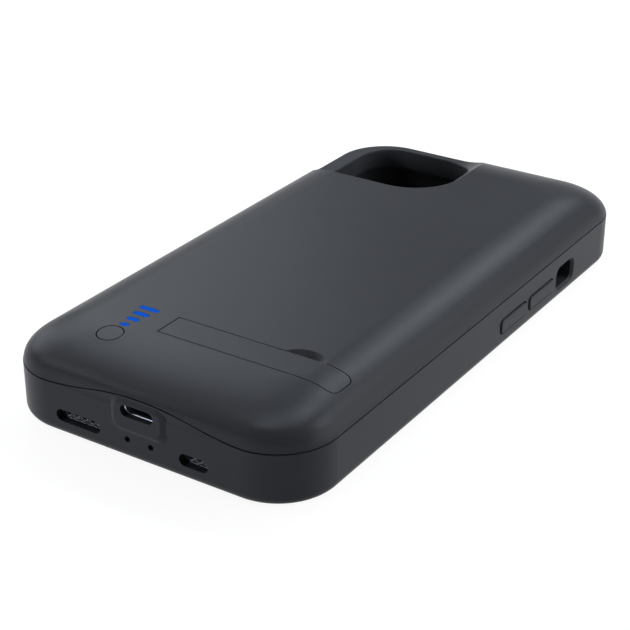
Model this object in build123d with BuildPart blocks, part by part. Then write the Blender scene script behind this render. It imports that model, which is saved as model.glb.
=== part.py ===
"""Battery charging case for a phone, lying face down, in millimetres.

X runs across the case, Y from the chin with the charge port to the camera end, Z up from the front lip.
The origin is the plan centre of the case, on the plane that the front lip rests on.
"""

import os
from math import asin, cos, degrees, radians, sin, sqrt

from build123d import *

os.makedirs("parts", exist_ok=True)

# Phone bay
bay_width = 72.0
bay_length = 147.0
bay_height = 8.0
bay_radius = 11.2
lip_height = 1.2
lip_reach = 1.6

# Walls of the case
side_wall = 3.5
head_wall = 3.0
chin_depth = 6.0
plan_radius = 14.2
bottom_fillet = 2.3
cover_wall = 1.6

# Heights above the phone bay
tray_thickness = 0.8
rim_above_tray = 2.31
battery_room = 8.2

# Crown of the back
side_blend = 12.5
end_blend = 19.0
edge_tilt = 5.0
crown_radius = 7.0
crown_steps = 7
quarter_turn = 90.0

# Seat of the tray in the frame
seat_step = 1.0
seat_head_wall = 1.6
seat_gap = 0.1

# Parting line between frame and cover, with its wave over the charge port
wave_half_width = 27.0
wave_rise = 3.04
hump_depth = 3.6
wave_gap = 0.05
seam_height = 0.3
seam_depth = 0.6

# Camera bay
window_side_wall = 5.45
window_head_wall = 3.9
window_width = 33.35
window_length = 34.5
window_corner = 9.8
window_sweep = 11.5
window_wall = 1.6
bay_shoulder = 3.6
bay_sweep = 14.0
rim_height = 2.44
ramp_run = 11.5

# Fold-out stand
stand_width = 7.6
stand_thickness = 1.8
stand_end_x = -10.0
stand_tip_x = 34.9
stand_from_chin = 23.8
stand_corner = 1.9
stand_side_gap = 0.2
stand_under_gap = 0.3
stand_pan_wall = 1.2
stand_well_gap = 0.2
pin_radius = 0.5
pin_grip = 1.0
pin_end_wall = 0.6
pin_running_gap = 0.05
pin_press_gap = 0.02
scoop_x = 23.0
scoop_radius = 6.2
scoop_reach = 3.0
scoop_depth = 2.2

# Check button
button_x = -18.5
button_from_chin = 14.1
button_radius = 2.85
button_gap = 0.25
button_flange = 0.85
button_flange_thickness = 0.8
button_flange_drop = 3.0
button_stem_radius = 1.5
button_free_travel = 0.4

# Light bars, a fan about a point beside the check button
light_count = 4
light_first_radius = 6.0
light_pitch = 2.9
light_fan = 20.3
light_shift = 0.35
light_setback = 1.5
light_bar_width = 1.3
light_gap = 0.08
light_plate_width = 7.0
light_plate_thickness = 0.8
light_plate_lift = 0.8
light_foot_width = 1.0
led_length = 1.6
led_width = 0.8
led_height = 0.6

# Keys on the long sides
key_height = 3.3
key_proud = 0.35
key_radius = 1.0
key_edge = 0.35
key_gap = 0.4
key_flange_height = 4.5
key_flange_thickness = 0.8
key_flange_gap = 0.25
key_seat_gap = 0.1
key_travel = 0.3
key_above_bay_floor = 4.7
volume_key_length = 12.9
volume_down_y = 14.3
volume_up_y = 29.1
side_key_length = 16.0
side_key_y = 22.0

# Switch opening
switch_length = 9.0
switch_height = 5.3
switch_y = 42.7
switch_radius = 1.6
switch_chamfer = 0.7

# Sound slots and microphone holes in the chin
slot_height = 2.9
slot_depth = 2.0
long_slot_x = -16.65
long_slot_length = 12.1
long_slot_holes = 5
short_slot_x = 13.9
short_slot_length = 7.4
short_slot_holes = 3
sound_hole_radius = 0.75
sound_hole_pitch = 2.2
sound_hole_chamfer = 0.2
microphone_radius = 0.7
microphone_spacing = 6.2
microphone_x = -0.2

# Charge port and the raised pad round it
port_width = 8.94
port_height = 3.16
port_wall = 0.3
port_length = 7.35
port_setback = 0.9
port_slot_gap = 0.17
port_face_gap = 0.05
port_mouth_gap = 0.1
port_flare = 0.2
port_tongue_width = 6.7
port_tongue_height = 0.7
port_tongue_length = 4.45
port_core_length = 1.6
port_core_gap = 0.02
pad_width = 14.4
pad_above_port = 1.0
pad_below_port = 3.9
pad_proud = 0.6
pad_border = 1.15
pad_radius = 2.6
pad_root = 1.0

# Main board and what is soldered to it
board_thickness = 0.8
board_side_room = 11.0
board_length = 26.9
board_chin_gap = 0.5
board_corner = 3.0
post_radius = 0.9
post_height = 1.6
post_spacing = 24.0
post_from_board_edge = 3.0
post_gap = 0.1
switch_body = 4.6
switch_body_height = 3.4
plunger_radius = 1.7
plunger_height = 0.8
chip_size = 5.0
chip_height = 0.9
chip_x = 9.0
inductor_size = 6.5
inductor_height = 3.0
inductor_corner = 1.0
inductor_x = 18.0
chip_from_board_edge = 11.0

# Battery
cell_side_room = 7.0
cell_head_room = 3.6
cell_height = 7.2
cell_fillet = 1.2
cell_from_chin = 34.0
tape_thickness = 0.2
tape_margin = 5.0
guard_width = 44.0
guard_height = 4.8
guard_thickness = 0.8
lead_radius = 0.5
lead_spacing = 6.0
lead_height = 2.5
lead_bend = 1.2
lead_landing = 1.5

# Plug for the phone
plug_above_bay_floor = 3.9
plug_width = 6.7
plug_height = 1.5
plug_reach = 7.0
plug_root = 1.5
plug_gap = 0.05
pocket_width = 18.0
pocket_wall = 1.8
pocket_floor = 2.8
housing_width = 11.0
housing_depth = 3.6
housing_height = 4.8
plug_board_width = 17.2
plug_board_depth = 3.7
plug_board_thickness = 0.8
flex_width = 3.0
flex_thickness = 0.15
flex_x = 7.1
flex_gap = 0.05
flex_landing = 3.0
flex_notch_gap = 0.7

# Screws between tray and cover
screw_radius = 1.0
screw_head_radius = 1.7
screw_length = 5.0
screw_cross_length = 1.9
screw_cross_width = 0.45
screw_cross_depth = 0.7
screw_gap = 0.05
screw_tip_gap = 0.3
boss_radius = 2.1
boss_side_inset = 6.5
boss_corner_inset = 8.0
boss_chin_inset = 16.0
boss_head_inset = 12.0
boss_window_gap = 5.8

# Faces and levels worked out from the driving sizes
case_width = bay_width + 2 * side_wall
case_length = bay_length + chin_depth + head_wall
side = case_width / 2
chin = -case_length / 2
head = case_length / 2
bay_chin = chin + chin_depth
bay_middle = bay_chin + bay_length / 2
tray_bottom = lip_height + bay_height
tray_top = tray_bottom + tray_thickness
parting = tray_top + rim_above_tray
case_height = tray_top + battery_room + cover_wall
wave_crest = parting + wave_rise
board_top = tray_top + board_thickness
port_z = board_top + port_height / 2
port_bore_width = port_width - 2 * port_wall
port_bore_height = port_height - 2 * port_wall
plug_z = lip_height + plug_above_bay_floor
key_z = lip_height + key_above_bay_floor

# Seat of the tray
seat_width = bay_width + 2 * seat_step
seat_chin = chin + hump_depth
seat_head = head - seat_head_wall
seat_length = seat_head - seat_chin
seat_middle = (seat_head + seat_chin) / 2
seat_radius = bay_radius + seat_step

# Camera window
window_left = -side + window_side_wall
window_right = window_left + window_width
window_head = head - window_head_wall
window_chin = window_head - window_length
bay_right = window_right + bay_shoulder
rim_top = parting + rim_height

# Stand
stand_y = chin + stand_from_chin
hinge_x = stand_end_x + stand_thickness / 2
hinge_z = case_height - stand_thickness / 2
well_radius = sqrt(2) * stand_thickness / 2 + stand_well_gap
stand_depth = stand_thickness + stand_under_gap
recess_width = stand_width + 2 * stand_side_gap
recess_tip = stand_tip_x + stand_side_gap
scoop_y = stand_y + recess_width / 2 + scoop_reach - scoop_radius
scoop_ball = (scoop_radius**2 + scoop_depth**2) / 2 / scoop_depth

# Check button and lights
button_y = chin + button_from_chin
flange_top = case_height - button_flange_drop
flange_bottom = flange_top - button_flange_thickness
plunger_top = board_top + switch_body_height + plunger_height
light_x = button_x + light_shift
light_y = button_y - light_setback
light_radii = [light_first_radius + index * light_pitch for index in range(light_count)]

# Keys
keys = [
    ("volume_down_key", 1, volume_down_y, volume_key_length),
    ("volume_up_key", 1, volume_up_y, volume_key_length),
    ("side_key", -1, side_key_y, side_key_length),
]
bay_side = bay_width / 2
key_flange_face = bay_side + key_seat_gap + key_travel
key_seat_depth = key_travel + key_flange_thickness + 2 * key_seat_gap

# Boards and battery
board_width = bay_width - 2 * board_side_room
board_chin = seat_chin + board_chin_gap
board_head = board_chin + board_length
post_y = board_head - post_from_board_edge
chip_y = board_head - chip_from_board_edge
cell_chin = chin + cell_from_chin
cell_width = bay_width - 2 * cell_side_room
cell_length = window_chin - cell_head_room - cell_chin
cell_y = cell_chin + cell_length / 2
cell_bottom = tray_top + tape_thickness

# Screws
boss_points = [
    (-side + boss_corner_inset, chin + boss_chin_inset),
    (side - boss_corner_inset, chin + boss_chin_inset),
    (-side + boss_side_inset, 0),
    (side - boss_side_inset, 0),
    (side - boss_corner_inset, head - boss_head_inset),
    (bay_right + boss_window_gap, head - boss_head_inset),
]

on_floor = (Align.CENTER, Align.CENTER, Align.MIN)


def crown(inset, reach=0.0, bowed=True):
    """Solid under the crowned back, drawn in by inset, with a straight stretch of reach below it.

    Its sections are rounded rectangles whose sides and ends follow elliptical curves. The chin edge of
    each section bows out in the middle where bowed, so that the crown starts above the wave of the
    parting line.
    """
    tilt = radians(edge_tilt)
    top = case_height - inset
    with BuildPart() as form:
        for step in range(crown_steps + 1):
            angle = tilt + (radians(quarter_turn) - tilt) * step / crown_steps
            share = 1 - cos(angle) / cos(tilt)
            z = parting + (top - parting) * (sin(angle) - sin(tilt)) / (1 - sin(tilt))
            climb = max(0.0, (z - wave_crest) / (top - wave_crest))
            half = side - inset - side_blend * share
            far_y = head - inset - end_blend * share
            near_y = chin + inset + end_blend * share
            bow_y = chin + inset + end_blend * (1 - sqrt(max(0.0, 1 - climb**2)))
            with BuildSketch(Plane.XY.offset(z)) as section:
                with BuildLine():
                    Polyline((half, near_y), (half, far_y), (-half, far_y), (-half, near_y))
                    if bowed and 0 < step < crown_steps:
                        ThreePointArc((-half, near_y), (0, bow_y), (half, near_y))
                    else:
                        Line((-half, near_y), (half, near_y))
                make_face()
                fillet(section.vertices(), (plan_radius - inset) * (1 - share) + crown_radius * share)
        loft()
        if reach > 0:
            with BuildSketch(Plane.XY.offset(parting - reach)):
                RectangleRounded(case_width - 2 * inset, case_length - 2 * inset, plan_radius - inset)
            extrude(amount=reach)
    return form.part


def side_arch(inset):
    """Solid under the stand, drawn in from the crown by inset: flat, then curved down at the volume keys."""
    tilt = radians(edge_tilt)
    rise = (case_height - inset - parting) / (1 - sin(tilt))
    flat_x = side - inset - side_blend
    with BuildPart() as arch:
        with BuildSketch(Plane.XZ.offset(-chin)):
            with BuildLine():
                Polyline(
                    (flat_x, case_height - inset),
                    (-side, case_height - inset),
                    (-side, parting),
                    (side - inset, parting),
                )
                EllipticalCenterArc(
                    (flat_x, case_height - inset - rise),
                    side_blend / cos(tilt),
                    rise,
                    edge_tilt,
                    arc_size=quarter_turn - edge_tilt,
                )
            make_face()
        extrude(amount=-case_length)
    return arch.part


def wave_block(lift, height, depth):
    """Block at the chin under the wave of the parting line, raised by lift, reaching down by height."""
    base = parting + lift
    bend_x = wave_half_width / 2
    bend_z = base + wave_rise / 2
    with BuildPart() as block:
        with BuildSketch(Plane.XZ.offset(-chin + pad_root)):
            with BuildLine():
                Polyline(
                    (-wave_half_width, base),
                    (-wave_half_width, base - height),
                    (wave_half_width, base - height),
                    (wave_half_width, base),
                )
                TangentArc((wave_half_width, base), (bend_x, bend_z), tangent=(-1, 0))
                ThreePointArc((bend_x, bend_z), (0, base + wave_rise), (-bend_x, bend_z))
                TangentArc((-wave_half_width, base), (-bend_x, bend_z), tangent=(1, 0))
            make_face()
        extrude(amount=-(depth + pad_root))
    return block.part


def bay_plan(margin):
    """Plan of the camera bay out to the case's edges, grown by margin on its two inner sides."""
    with BuildSketch() as plan:
        with Locations((bay_right + margin, window_chin - margin)):
            Rectangle(
                bay_right + side + 2 * margin,
                window_length + window_head_wall + 2 * margin,
                align=(Align.MAX, Align.MIN),
            )
        fillet(plan.vertices().group_by(Axis.X)[-1].sort_by(Axis.Y)[0], bay_sweep + margin)
    return plan.sketch


def light_plan(margin):
    """Plan of the light bars, arcs about one point, grown by margin."""
    arcs = []
    for radius in light_radii:
        span = light_fan - 2 * degrees(asin(light_bar_width / 2 / radius))
        arcs.append(CenterArc((light_x, light_y), radius, quarter_turn - span / 2, span))
    with BuildSketch() as plan:
        for arc in arcs:
            SlotArc(arc, light_bar_width + 2 * margin)
    return plan.sketch


def side_plane(hand, y, distance):
    """Plane at key height that faces out of a long side, at a distance from the middle of the case."""
    return Plane(origin=(hand * distance, y, key_z), x_dir=(0, 1, 0), z_dir=(hand, 0, 0))


# Forms that several pieces share
outer_form = crown(0.0)
case_form = crown(0.0, rim_above_tray)
cavity_form = crown(cover_wall, bowed=False)
chin_plane = Plane.XZ.offset(-chin)
stand_plane = Plane.XZ.offset(-stand_y)

with BuildSketch() as window_plan:
    with Locations(((window_left + window_right) / 2, (window_chin + window_head) / 2)):
        Rectangle(window_width, window_length)
    fillet(window_plan.vertices().group_by(Axis.X)[-1], window_sweep)
    fillet(window_plan.vertices().group_by(Axis.X)[0], window_corner)

with BuildSketch() as seat_plan:
    with Locations((0, seat_middle)):
        RectangleRounded(seat_width - 2 * seat_gap, seat_length - 2 * seat_gap, seat_radius - seat_gap)

# Hump of the frame under the wave, on the same surface as the crown
with BuildPart() as hump:
    add(case_form)
    add(wave_block(0.0, rim_above_tray / 2, hump_depth), mode=Mode.INTERSECT)

# Bumper frame
with BuildPart() as bumper_frame:
    with BuildSketch():
        RectangleRounded(case_width, case_length, plan_radius)
    extrude(amount=parting)
    fillet(bumper_frame.edges().group_by(Axis.Z)[0], bottom_fillet)
    add(hump.part)
    # Raised pad round the charge port
    pad_height = port_height + pad_above_port + pad_below_port
    pad_z = port_z + (pad_above_port - pad_below_port) / 2
    with BuildSketch(chin_plane.offset(-pad_root)):
        with Locations((0, pad_z)):
            RectangleRounded(pad_width, pad_height, pad_radius)
    extrude(amount=pad_root)
    with BuildSketch(chin_plane):
        with Locations((0, pad_z)):
            RectangleRounded(pad_width, pad_height, pad_radius)
    with BuildSketch(chin_plane.offset(pad_proud)):
        with Locations((0, pad_z)):
            RectangleRounded(pad_width - 2 * pad_border, pad_height - 2 * pad_border, pad_radius - pad_border)
    loft()
    # Phone bay, front opening and seat of the tray
    with BuildSketch(Plane.XY.offset(lip_height)):
        with Locations((0, bay_middle)):
            RectangleRounded(bay_width, bay_length, bay_radius)
    extrude(amount=bay_height, mode=Mode.SUBTRACT)
    with BuildSketch():
        with Locations((0, bay_middle)):
            RectangleRounded(bay_width - 2 * lip_reach, bay_length - 2 * lip_reach, bay_radius - lip_reach)
    extrude(amount=lip_height, mode=Mode.SUBTRACT)
    with BuildSketch(Plane.XY.offset(tray_bottom)):
        with Locations((0, seat_middle)):
            RectangleRounded(seat_width, seat_length, seat_radius)
    extrude(amount=case_height - tray_bottom, mode=Mode.SUBTRACT)
    # Pocket of the plug, open to the bay and to the tray
    with BuildSketch(Plane.XY.offset(pocket_floor)):
        with Locations((0, chin + pocket_wall)):
            Rectangle(pocket_width, chin_depth - pocket_wall, align=(Align.CENTER, Align.MIN))
    extrude(amount=tray_bottom - pocket_floor, mode=Mode.SUBTRACT)
    # Mouth of the charge port, with room for its shell behind
    with BuildSketch(chin_plane.offset(pad_proud)):
        with Locations((0, port_z)):
            SlotOverall(port_bore_width + 2 * port_mouth_gap, port_bore_height + 2 * port_mouth_gap)
    extrude(amount=-(hump_depth + pad_proud), mode=Mode.SUBTRACT)
    with BuildSketch(chin_plane.offset(port_face_gap - port_setback)):
        with Locations((0, port_z)):
            SlotOverall(port_width + 2 * port_slot_gap, port_height + 2 * port_slot_gap)
    extrude(amount=-hump_depth, mode=Mode.SUBTRACT)
    # Sound slots with their rows of holes, and microphone holes
    for slot_x, slot_length, slot_holes in (
        (long_slot_x, long_slot_length, long_slot_holes),
        (short_slot_x, short_slot_length, short_slot_holes),
    ):
        with BuildSketch(chin_plane):
            with Locations((slot_x, plug_z)):
                SlotOverall(slot_length, slot_height)
        extrude(amount=-slot_depth, mode=Mode.SUBTRACT)
        with BuildSketch(chin_plane):
            with Locations((slot_x, plug_z)):
                with GridLocations(sound_hole_pitch, 0, slot_holes, 1):
                    Circle(sound_hole_radius)
        extrude(amount=-chin_depth, mode=Mode.SUBTRACT)
        hole_rims = bumper_frame.edges(Select.LAST).filter_by(GeomType.CIRCLE).group_by(Axis.Y)[0]
        chamfer(hole_rims, sound_hole_chamfer)
    with BuildSketch(chin_plane):
        with Locations((microphone_x, plug_z)):
            with GridLocations(microphone_spacing, 0, 2, 1):
                Circle(microphone_radius)
    extrude(amount=-pocket_wall, mode=Mode.SUBTRACT)
    # Openings of the keys, with the seats of their flanges
    for name, hand, key_y, key_length in keys:
        with BuildSketch(side_plane(hand, key_y, side)):
            RectangleRounded(key_length + 2 * key_gap, key_height + 2 * key_gap, key_radius + key_gap)
        extrude(amount=-side_wall, mode=Mode.SUBTRACT)
        with BuildSketch(side_plane(hand, key_y, bay_side)):
            RectangleRounded(key_length + 2 * key_gap, key_flange_height + 2 * key_flange_gap, key_radius)
        extrude(amount=key_seat_depth, mode=Mode.SUBTRACT)
    # Switch opening with a chamfered rim
    with BuildSketch(side_plane(1, switch_y, side)):
        RectangleRounded(switch_length, switch_height, switch_radius)
    extrude(amount=-side_wall, mode=Mode.SUBTRACT)
    with BuildSketch(side_plane(1, switch_y, side)):
        RectangleRounded(
            switch_length + 2 * switch_chamfer, switch_height + 2 * switch_chamfer, switch_radius + switch_chamfer
        )
    with BuildSketch(side_plane(1, switch_y, side - switch_chamfer)):
        RectangleRounded(switch_length, switch_height, switch_radius)
    loft(mode=Mode.SUBTRACT)
bumper_frame.part.label = "bumper_frame"
export_step(bumper_frame.part, "parts/bumper_frame.step")

# Keys
for name, hand, key_y, key_length in keys:
    with BuildPart() as key:
        with BuildSketch(side_plane(hand, key_y, key_flange_face)):
            RectangleRounded(key_length, key_flange_height, key_radius - key_gap)
        extrude(amount=key_flange_thickness)
        with BuildSketch(side_plane(hand, key_y, key_flange_face + key_flange_thickness)):
            RectangleRounded(key_length, key_height, key_radius)
        extrude(amount=side + key_proud - key_flange_face - key_flange_thickness)
        fillet(key.faces().sort_by(Axis.X)[-1 if hand > 0 else 0].edges(), key_edge)
    key.part.label = name
    export_step(key.part, f"parts/{name}.step")

# Inner tray
with BuildPart() as inner_tray:
    with BuildSketch(Plane.XY.offset(tray_bottom)):
        add(seat_plan.sketch)
    extrude(amount=tray_thickness)
    with Locations((-post_spacing / 2, post_y, tray_top), (post_spacing / 2, post_y, tray_top)):
        Cylinder(post_radius, post_height, align=on_floor)
    extrude(window_plan.sketch, amount=case_height, mode=Mode.SUBTRACT)
    with BuildSketch(Plane.XY.offset(tray_bottom)):
        with Locations((flex_x, seat_chin)):
            Rectangle(
                flex_width + 2 * flex_notch_gap,
                board_chin_gap + flex_notch_gap,
                align=(Align.CENTER, Align.MIN),
            )
    extrude(amount=tray_thickness, mode=Mode.SUBTRACT)
    with Locations([(x, y, tray_bottom) for x, y in boss_points]):
        Cone(
            screw_head_radius + screw_gap,
            screw_radius + screw_gap,
            tray_thickness,
            align=on_floor,
            mode=Mode.SUBTRACT,
        )
inner_tray.part.label = "inner_tray"
export_step(inner_tray.part, "parts/inner_tray.step")

# Screws that hold the tray to the cover
with BuildPart() as tray_screws:
    with Locations([(x, y, tray_bottom) for x, y in boss_points]):
        Cone(screw_head_radius, screw_radius, tray_thickness, align=on_floor)
        Cylinder(screw_radius, screw_length, align=on_floor)
        Box(screw_cross_length, screw_cross_width, screw_cross_depth, align=on_floor, mode=Mode.SUBTRACT)
        Box(screw_cross_width, screw_cross_length, screw_cross_depth, align=on_floor, mode=Mode.SUBTRACT)
tray_screws.part.label = "tray_screws"
export_step(tray_screws.part, "parts/tray_screws.step")

# Room for the stand: a recess that follows the crown, a well for its hinge end and the pan under them
with BuildPart() as stand_recess:
    with BuildSketch(Plane.XY.offset(parting)) as recess_plan:
        with Locations((hinge_x, stand_y)):
            Rectangle(recess_tip - hinge_x, recess_width, align=(Align.MIN, Align.CENTER))
        fillet(recess_plan.vertices().group_by(Axis.X)[-1], stand_corner + stand_side_gap)
    extrude(amount=case_height)
    add(side_arch(stand_depth), mode=Mode.SUBTRACT)
    with BuildSketch(stand_plane):
        with Locations((hinge_x, hinge_z)):
            Circle(well_radius)
    extrude(amount=recess_width / 2, both=True)

with BuildPart() as stand_pan:
    with BuildSketch(Plane.XY.offset(parting)):
        with Locations((hinge_x - well_radius - stand_pan_wall, stand_y)):
            Rectangle(
                recess_tip - hinge_x + well_radius + 2 * stand_pan_wall,
                recess_width + 2 * (pin_grip + pin_end_wall),
                align=(Align.MIN, Align.CENTER),
            )
        with Locations((scoop_x, scoop_y)):
            Circle(scoop_radius + stand_pan_wall)
    extrude(amount=case_height - parting)
    add(outer_form, mode=Mode.INTERSECT)
    add(side_arch(stand_depth + stand_pan_wall), mode=Mode.SUBTRACT)

# Thumb scoop beside the stand
with BuildPart() as scoop:
    with Locations((scoop_x, scoop_y, case_height - scoop_depth + scoop_ball)):
        Sphere(scoop_ball)
    split(bisect_by=stand_plane, keep=Keep.BOTTOM)

# Cut of the camera bay: down to the rim, with the rim sweeping up to the crown at both ends
with BuildPart() as bay_cut:
    bay_left = -side - window_wall
    bay_head = head + window_wall
    bay_top = case_height + window_wall
    with BuildSketch(Plane.XZ.offset(-window_chin)):
        with BuildLine():
            Polyline(
                (bay_right, case_height),
                (bay_right, bay_top),
                (bay_left, bay_top),
                (bay_left, rim_top),
                (bay_right - ramp_run, rim_top),
            )
            TangentArc((bay_right - ramp_run, rim_top), (bay_right, case_height), tangent=(1, 0))
        make_face()
    extrude(amount=-(bay_head - window_chin))
    with BuildSketch(Plane.YZ.offset(bay_left)):
        with BuildLine():
            Polyline(
                (window_chin, case_height),
                (window_chin, bay_top),
                (bay_head, bay_top),
                (bay_head, rim_top),
                (window_chin + ramp_run, rim_top),
            )
            TangentArc((window_chin + ramp_run, rim_top), (window_chin, case_height), tangent=(-1, 0))
        make_face()
    extrude(amount=bay_right - bay_left, mode=Mode.INTERSECT)
    extrude(bay_plan(0.0), amount=bay_top, mode=Mode.INTERSECT)

# Wall of the camera bay, solid up to the crown and reaching down to the tray inside the frame
with BuildPart() as bay_wall:
    extrude(bay_plan(window_wall), amount=case_height)
    add(outer_form, mode=Mode.INTERSECT)

with BuildPart() as bay_skirt:
    with BuildSketch(Plane.XY.offset(tray_top)):
        add(window_plan.sketch)
        offset(amount=window_wall)
        add(seat_plan.sketch, mode=Mode.INTERSECT)
    extrude(amount=rim_above_tray + rim_height / 2)

# Screw bosses, ended inside the wall of the cover
with BuildPart() as bosses:
    with Locations([(x, y, tray_top) for x, y in boss_points]):
        Cylinder(boss_radius, battery_room + cover_wall, align=on_floor)
    add(crown(cover_wall / 2, rim_above_tray, bowed=False), mode=Mode.INTERSECT)

# Groove of the parting line in the lower edge of the cover
with BuildPart() as seam:
    with BuildSketch(Plane.XY.offset(parting)):
        Rectangle(case_width + 2 * seam_depth, case_length + 2 * seam_depth)
    extrude(amount=seam_height)
    add(wave_block(seam_height, rim_above_tray, hump_depth))
    add(crown(seam_depth, rim_above_tray), mode=Mode.SUBTRACT)

# Back cover
with BuildPart() as back_cover:
    add(outer_form)
    add(cavity_form, mode=Mode.SUBTRACT)
    add(stand_pan.part)
    add(bay_wall.part)
    add(bay_skirt.part)
    add(bosses.part)
    extrude(window_plan.sketch, amount=case_height, mode=Mode.SUBTRACT)
    add(bay_cut.part, mode=Mode.SUBTRACT)
    add(stand_recess.part, mode=Mode.SUBTRACT)
    add(scoop.part, mode=Mode.SUBTRACT)
    with BuildSketch(stand_plane):
        with Locations((hinge_x, hinge_z)):
            Circle(pin_radius + pin_press_gap)
    extrude(amount=recess_width / 2 + pin_grip, both=True, mode=Mode.SUBTRACT)
    with BuildSketch(Plane.XY.offset(parting)):
        with Locations((button_x, button_y)):
            Circle(button_radius + button_gap)
    extrude(amount=case_height, mode=Mode.SUBTRACT)
    with BuildSketch(Plane.XY.offset(parting)):
        add(light_plan(light_gap))
    extrude(amount=case_height, mode=Mode.SUBTRACT)
    with Locations([(x, y, tray_top) for x, y in boss_points]):
        Cylinder(
            screw_radius + screw_gap,
            screw_length - tray_thickness + screw_tip_gap,
            align=on_floor,
            mode=Mode.SUBTRACT,
        )
    add(wave_block(wave_gap, rim_above_tray, hump_depth + wave_gap), mode=Mode.SUBTRACT)
    add(seam.part, mode=Mode.SUBTRACT)
back_cover.part.label = "back_cover"
export_step(back_cover.part, "parts/back_cover.step")

# Stand
with BuildPart() as kickstand:
    with BuildSketch(Plane.XY.offset(parting)) as stand_plan:
        with Locations((stand_end_x, stand_y)):
            Rectangle(stand_tip_x - stand_end_x, stand_width, align=(Align.MIN, Align.CENTER))
        fillet(stand_plan.vertices().group_by(Axis.X)[-1], stand_corner)
    extrude(amount=case_height)
    add(outer_form, mode=Mode.INTERSECT)
    add(side_arch(stand_thickness), mode=Mode.SUBTRACT)
    with BuildSketch(stand_plane):
        with Locations((hinge_x, hinge_z)):
            Circle(pin_radius + pin_running_gap)
    extrude(amount=stand_width / 2, both=True, mode=Mode.SUBTRACT)
kickstand.part.label = "kickstand"
export_step(kickstand.part, "parts/kickstand.step")

with BuildPart() as hinge_pin:
    with BuildSketch(stand_plane):
        with Locations((hinge_x, hinge_z)):
            Circle(pin_radius)
    extrude(amount=recess_width / 2 + pin_grip - pin_running_gap, both=True)
hinge_pin.part.label = "hinge_pin"
export_step(hinge_pin.part, "parts/hinge_pin.step")

# Check button, flush with the crown and flanged under the cover
with BuildPart() as check_button:
    with BuildSketch(Plane.XY.offset(flange_top)):
        with Locations((button_x, button_y)):
            Circle(button_radius)
    extrude(amount=case_height)
    add(outer_form, mode=Mode.INTERSECT)
    with Locations((button_x, button_y, flange_bottom)):
        Cylinder(button_radius + button_flange, button_flange_thickness, align=on_floor)
    with Locations((button_x, button_y, plunger_top + button_free_travel)):
        Cylinder(button_stem_radius, flange_bottom - plunger_top - button_free_travel, align=on_floor)
check_button.part.label = "check_button"
export_step(check_button.part, "parts/check_button.step")

# Light guide: four bars on one plate that stands on the board
with BuildPart() as light_guide:
    plate_bottom = board_top + light_plate_lift
    plate_length = light_radii[-1] - light_radii[0] + 2 * light_bar_width
    plate_y = light_y + (light_radii[-1] + light_radii[0]) / 2
    with BuildSketch(Plane.XY.offset(plate_bottom)):
        add(light_plan(0.0))
    extrude(amount=case_height)
    add(case_form, mode=Mode.INTERSECT)
    with Locations((light_x, plate_y, plate_bottom)):
        Box(light_plate_width, plate_length, light_plate_thickness, align=on_floor)
    with Locations((light_x, plate_y, board_top)):
        with GridLocations(light_plate_width - light_foot_width, 0, 2, 1):
            Box(light_foot_width, plate_length, light_plate_lift, align=on_floor)
light_guide.part.label = "light_guide"
export_step(light_guide.part, "parts/light_guide.step")

with BuildPart() as led_chips:
    with Locations([(light_x, light_y + radius, board_top) for radius in light_radii]):
        Box(led_length, led_width, led_height, align=on_floor)
led_chips.part.label = "led_chips"
export_step(led_chips.part, "parts/led_chips.step")

# Main board and what is soldered to it
with BuildPart() as main_board:
    with BuildSketch(Plane.XY.offset(tray_top)) as board_plan:
        with Locations((0, board_chin)):
            Rectangle(board_width, board_length, align=(Align.CENTER, Align.MIN))
        chamfer(board_plan.vertices().group_by(Axis.Y)[0], board_corner)
        with Locations((-post_spacing / 2, post_y), (post_spacing / 2, post_y)):
            Circle(post_radius + post_gap, mode=Mode.SUBTRACT)
    extrude(amount=board_thickness)
main_board.part.label = "main_board"
export_step(main_board.part, "parts/main_board.step")

with BuildPart() as check_switch:
    with Locations((button_x, button_y, board_top)):
        Box(switch_body, switch_body, switch_body_height, align=on_floor)
    with Locations((button_x, button_y, board_top + switch_body_height)):
        Cylinder(plunger_radius, plunger_height, align=on_floor)
check_switch.part.label = "check_switch"
export_step(check_switch.part, "parts/check_switch.step")

with BuildPart() as power_chip:
    with Locations((chip_x, chip_y, board_top)):
        Box(chip_size, chip_size, chip_height, align=on_floor)
power_chip.part.label = "power_chip"
export_step(power_chip.part, "parts/power_chip.step")

with BuildPart() as power_inductor:
    with BuildSketch(Plane.XY.offset(board_top)):
        with Locations((inductor_x, chip_y)):
            RectangleRounded(inductor_size, inductor_size, inductor_corner)
    extrude(amount=inductor_height)
power_inductor.part.label = "power_inductor"
export_step(power_inductor.part, "parts/power_inductor.step")

# Charge port
port_plane = chin_plane.offset(-port_setback)
with BuildPart() as charge_port_shell:
    with BuildSketch(port_plane):
        with Locations((0, port_z)):
            SlotOverall(port_width, port_height)
            SlotOverall(port_bore_width, port_bore_height, mode=Mode.SUBTRACT)
    extrude(amount=-port_length)
    chamfer(charge_port_shell.faces().sort_by(Axis.Y)[0].inner_wires()[0].edges(), port_flare)
charge_port_shell.part.label = "charge_port_shell"
export_step(charge_port_shell.part, "parts/charge_port_shell.step")

with BuildPart() as charge_port_tongue:
    with BuildSketch(port_plane.offset(-port_length)):
        with Locations((0, port_z)):
            SlotOverall(port_bore_width - 2 * port_core_gap, port_bore_height - 2 * port_core_gap)
    extrude(amount=port_core_length)
    with BuildSketch(port_plane.offset(-port_length)):
        with Locations((0, port_z)):
            Rectangle(port_tongue_width, port_tongue_height)
    extrude(amount=port_core_length + port_tongue_length)
charge_port_tongue.part.label = "charge_port_tongue"
export_step(charge_port_tongue.part, "parts/charge_port_tongue.step")

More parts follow.
